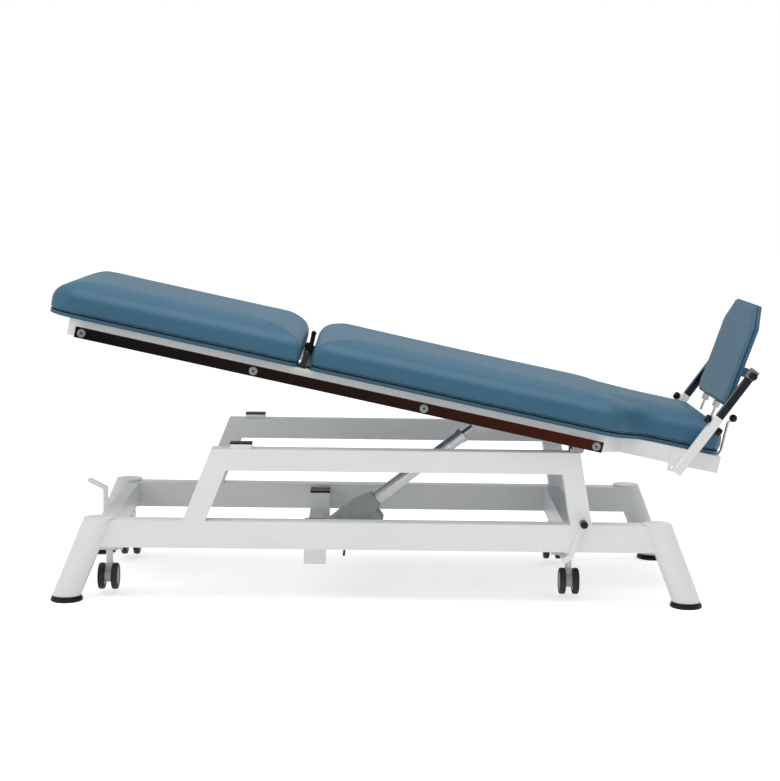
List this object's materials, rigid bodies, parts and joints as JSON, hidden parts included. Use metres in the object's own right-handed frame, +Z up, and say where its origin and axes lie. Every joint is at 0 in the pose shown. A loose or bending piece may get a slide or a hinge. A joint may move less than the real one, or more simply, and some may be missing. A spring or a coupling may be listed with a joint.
{
  "type": "physiotherapy tilt table",
  "caption": "Electric tilt table on a tubular base: upholstered bed that tips to near upright, lifting backrest, sliding footboard and retractable castors.",
  "frame": {"origin": "on the floor, below the middle of the whole part's box", "axes": "+X towards the foot end, +Y to the patient's left side when lying face up, +Z up"},
  "size_m": [1.9932, 0.6857, 0.8825],
  "materials": {
    "white_paint": "fine satin powder coat",
    "leatherette": "smooth blue leatherette with a fine grain",
    "dark_rail": "dark polished lacquer",
    "dark_bar": "dark polished",
    "black_paint": "satin black",
    "steel": "zinc plated",
    "grey_metal": "grey zinc",
    "aluminium": "satin drawn tube",
    "chrome": "polished",
    "actuator_grey": "moulded",
    "grey_plastic": "moulded",
    "black_plastic": "moulded black",
    "rubber": "moulded black rubber",
    "cable": "black sheath",
    "cream_plastic": "moulded cream nylon",
    "castor_tyre": "grey rubber tyre on a pale disc"
  },
  "bodies": {
    "base": {"base_rail_left": "white_paint", "base_rail_right": "white_paint", "head_beam": "white_paint", "foot_beam": "white_paint", "head_legs": "white_paint", "foot_legs": "white_paint", "rubber_feet": "rubber", "actuator_cross_member": "white_paint", "side_frame_left": "white_paint", "side_frame_right": "white_paint", "stop_buffers": "rubber", "pivot_ears": "grey_metal", "control_box": "grey_plastic", "castor_hangers": "white_paint"},
    "table": {"table_side_left": "white_paint", "table_side_right": "white_paint", "table_crossbars": "white_paint", "accessory_rail_left": "dark_rail", "accessory_rail_right": "dark_rail", "rail_fixings": "steel", "pivot_lugs": "grey_metal", "actuator_bracket": "white_paint", "leg_board": "leatherette", "leg_cushion": "leatherette", "backrest_brackets": "black_paint", "footboard_sleeves": "white_paint"},
    "backrest": {"backrest_subframe": "white_paint", "backrest_ears": "black_paint", "head_board": "leatherette", "head_cushion": "leatherette"},
    "gas_cylinder": {"gas_spring_cylinder": "black_paint"},
    "gas_rod": {"gas_spring_rod": "chrome"},
    "actuator": {"actuator_housing": "actuator_grey", "actuator_tube": "aluminium", "actuator_lead": "cable"},
    "actuator_rod": {"actuator_rod": "chrome"},
    "head_castor_bar": {"head_castor_bar": "white_paint"},
    "foot_castor_bar": {"foot_castor_bar": "white_paint"},
    "head_pedal": {"head_pedal": "white_paint"},
    "foot_pedal": {"foot_pedal": "white_paint"},
    "footboard_carriage": {"footboard_bars": "dark_bar", "bar_blocks": "grey_metal"},
    "footboard": {"footboard_panel": "leatherette", "footboard_pad": "leatherette", "footboard_rods": "chrome"},
    "hand_lever": {"hand_lever": "chrome"},
    "castor_head_left": {"castor_body_head_left": "cream_plastic"},
    "wheels_head_left": {"castor_wheels_head_left": "castor_tyre"},
    "castor_head_right": {"castor_body_head_right": "cream_plastic"},
    "wheels_head_right": {"castor_wheels_head_right": "castor_tyre"},
    "castor_foot_left": {"castor_body_foot_left": "cream_plastic"},
    "wheels_foot_left": {"castor_wheels_foot_left": "castor_tyre"},
    "castor_foot_right": {"castor_body_foot_right": "cream_plastic"},
    "wheels_foot_right": {"castor_wheels_foot_right": "castor_tyre"},
    "head_side_knob_left": {"head_side_knob_left": "black_plastic"},
    "head_side_knob_right": {"head_side_knob_right": "black_plastic"},
    "foot_side_knob_left": {"foot_side_knob_left": "black_plastic"},
    "foot_side_knob_right": {"foot_side_knob_right": "black_plastic"},
    "bracket_knob_left": {"bracket_knob_left": "black_plastic"},
    "bracket_knob_right": {"bracket_knob_right": "black_plastic"}
  },
  "joints": [
    {"name": "table_tilt", "type": "hinge", "parent": "base", "child": "table", "pos_m": [0.46651, 0, 0.444], "axis": [0, 1, 0], "range_deg": [-11.8, 65]},
    {"name": "actuator_swing", "type": "hinge", "parent": "base", "child": "actuator", "pos_m": [-0.23249, 0, 0.13], "axis": [0, 1, 0], "range_deg": [-5.3, 1]},
    {"name": "actuator_extend", "type": "slide", "parent": "actuator", "child": "actuator_rod", "axis": [0.7964, 0, 0.6048], "range_m": [-0.0465, 0.2545]},
    {"name": "backrest_lift", "type": "hinge", "parent": "table", "child": "backrest", "pos_m": [-0.28582, 0, 0.69618], "axis": [0, 1, 0], "range_deg": [0, 50]},
    {"name": "gas_spring_swing", "type": "hinge", "parent": "table", "child": "gas_cylinder", "pos_m": [-0.34421, 0, 0.58783], "axis": [0, 1, 0], "range_deg": [-0.1, 48]},
    {"name": "gas_spring_extend", "type": "slide", "parent": "gas_cylinder", "child": "gas_rod", "axis": [-0.9486, 0, 0.3166], "range_m": [-0.001, 0.1085]},
    {"name": "head_pedal_turn", "type": "hinge", "parent": "base", "child": "head_pedal", "pos_m": [-0.86949, 0, 0.1303], "axis": [0, -1, 0], "range_deg": [0, 34.7]},
    {"name": "foot_pedal_turn", "type": "hinge", "parent": "base", "child": "foot_pedal", "pos_m": [0.43651, 0, 0.1303], "axis": [0, 1, 0], "range_deg": [0, 34.7]},
    {"name": "head_castor_lower", "type": "slide", "parent": "base", "child": "head_castor_bar", "axis": [0, 0, -1], "range_m": [0, 0.016]},
    {"name": "foot_castor_lower", "type": "slide", "parent": "base", "child": "foot_castor_bar", "axis": [0, 0, -1], "range_m": [0, 0.016]},
    {"name": "castor_swivel_head_left", "type": "hinge", "parent": "head_castor_bar", "child": "castor_head_left", "pos_m": [-0.84249, -0.2, 0.101], "axis": [0, 0, 1], "continuous": true},
    {"name": "wheel_spin_head_left", "type": "hinge", "parent": "castor_head_left", "child": "wheels_head_left", "pos_m": [-0.84249, -0.218, 0.0495], "axis": [1, 0, 0], "continuous": true},
    {"name": "castor_swivel_head_right", "type": "hinge", "parent": "head_castor_bar", "child": "castor_head_right", "pos_m": [-0.84249, 0.2, 0.101], "axis": [0, 0, 1], "continuous": true},
    {"name": "wheel_spin_head_right", "type": "hinge", "parent": "castor_head_right", "child": "wheels_head_right", "pos_m": [-0.84249, 0.218, 0.0495], "axis": [1, 0, 0], "continuous": true},
    {"name": "castor_swivel_foot_left", "type": "hinge", "parent": "foot_castor_bar", "child": "castor_foot_left", "pos_m": [0.46051, -0.2, 0.101], "axis": [0, 0, 1], "continuous": true},
    {"name": "wheel_spin_foot_left", "type": "hinge", "parent": "castor_foot_left", "child": "wheels_foot_left", "pos_m": [0.46051, -0.218, 0.0495], "axis": [1, 0, 0], "continuous": true},
    {"name": "castor_swivel_foot_right", "type": "hinge", "parent": "foot_castor_bar", "child": "castor_foot_right", "pos_m": [0.46051, 0.2, 0.101], "axis": [0, 0, 1], "continuous": true},
    {"name": "wheel_spin_foot_right", "type": "hinge", "parent": "castor_foot_right", "child": "wheels_foot_right", "pos_m": [0.46051, 0.218, 0.0495], "axis": [1, 0, 0], "continuous": true},
    {"name": "footboard_slide", "type": "slide", "parent": "table", "child": "footboard_carriage", "axis": [0.5835, 0, 0.8121], "range_m": [0, 0.1]},
    {"name": "footboard_tilt", "type": "hinge", "parent": "footboard_carriage", "child": "footboard", "pos_m": [0.95097, 0, 0.64578], "axis": [0, 1, 0], "range_deg": [-15, 15]},
    {"name": "head_side_knob_left_turn", "type": "hinge", "parent": "table", "child": "head_side_knob_left", "pos_m": [0.85294, -0.242, 0.50935], "axis": [0.8121, 0, -0.5835], "range_deg": [-270, 0]},
    {"name": "head_side_knob_right_turn", "type": "hinge", "parent": "table", "child": "head_side_knob_right", "pos_m": [0.85294, 0.242, 0.50935], "axis": [0.8121, 0, -0.5835], "range_deg": [-270, 0]},
    {"name": "foot_side_knob_left_turn", "type": "hinge", "parent": "table", "child": "foot_side_knob_left", "pos_m": [0.84623, -0.242, 0.50001], "axis": [0.8121, 0, -0.5835], "range_deg": [-270, 0]},
    {"name": "foot_side_knob_right_turn", "type": "hinge", "parent": "table", "child": "foot_side_knob_right", "pos_m": [0.84623, 0.242, 0.50001], "axis": [0.8121, 0, -0.5835], "range_deg": [-270, 0]},
    {"name": "bracket_knob_left_turn", "type": "hinge", "parent": "footboard_carriage", "child": "bracket_knob_left", "pos_m": [0.95097, -0.242, 0.64578], "axis": [0, 1, 0], "range_deg": [-270, 0]},
    {"name": "bracket_knob_right_turn", "type": "hinge", "parent": "footboard_carriage", "child": "bracket_knob_right", "pos_m": [0.95097, 0.242, 0.64578], "axis": [0, 1, 0], "range_deg": [-270, 0]},
    {"name": "hand_lever_pull", "type": "hinge", "parent": "table", "child": "hand_lever", "pos_m": [0.88573, -0.11, 0.38707], "axis": [0, 1, 0], "range_deg": [0, 20]}
  ],
  "couplings": [
    {"joint": "actuator_swing", "follows": "table_tilt", "ratio": -0.08},
    {"joint": "actuator_extend", "follows": "table_tilt", "m_per_rad": 0.224},
    {"joint": "gas_spring_swing", "follows": "backrest_lift", "ratio": 0.93},
    {"joint": "gas_spring_extend", "follows": "backrest_lift", "m_per_rad": 0.122},
    {"joint": "head_pedal_turn", "follows": "head_castor_lower", "rad_per_m": 37.602},
    {"joint": "foot_pedal_turn", "follows": "foot_castor_lower", "rad_per_m": 37.602}
  ]
}
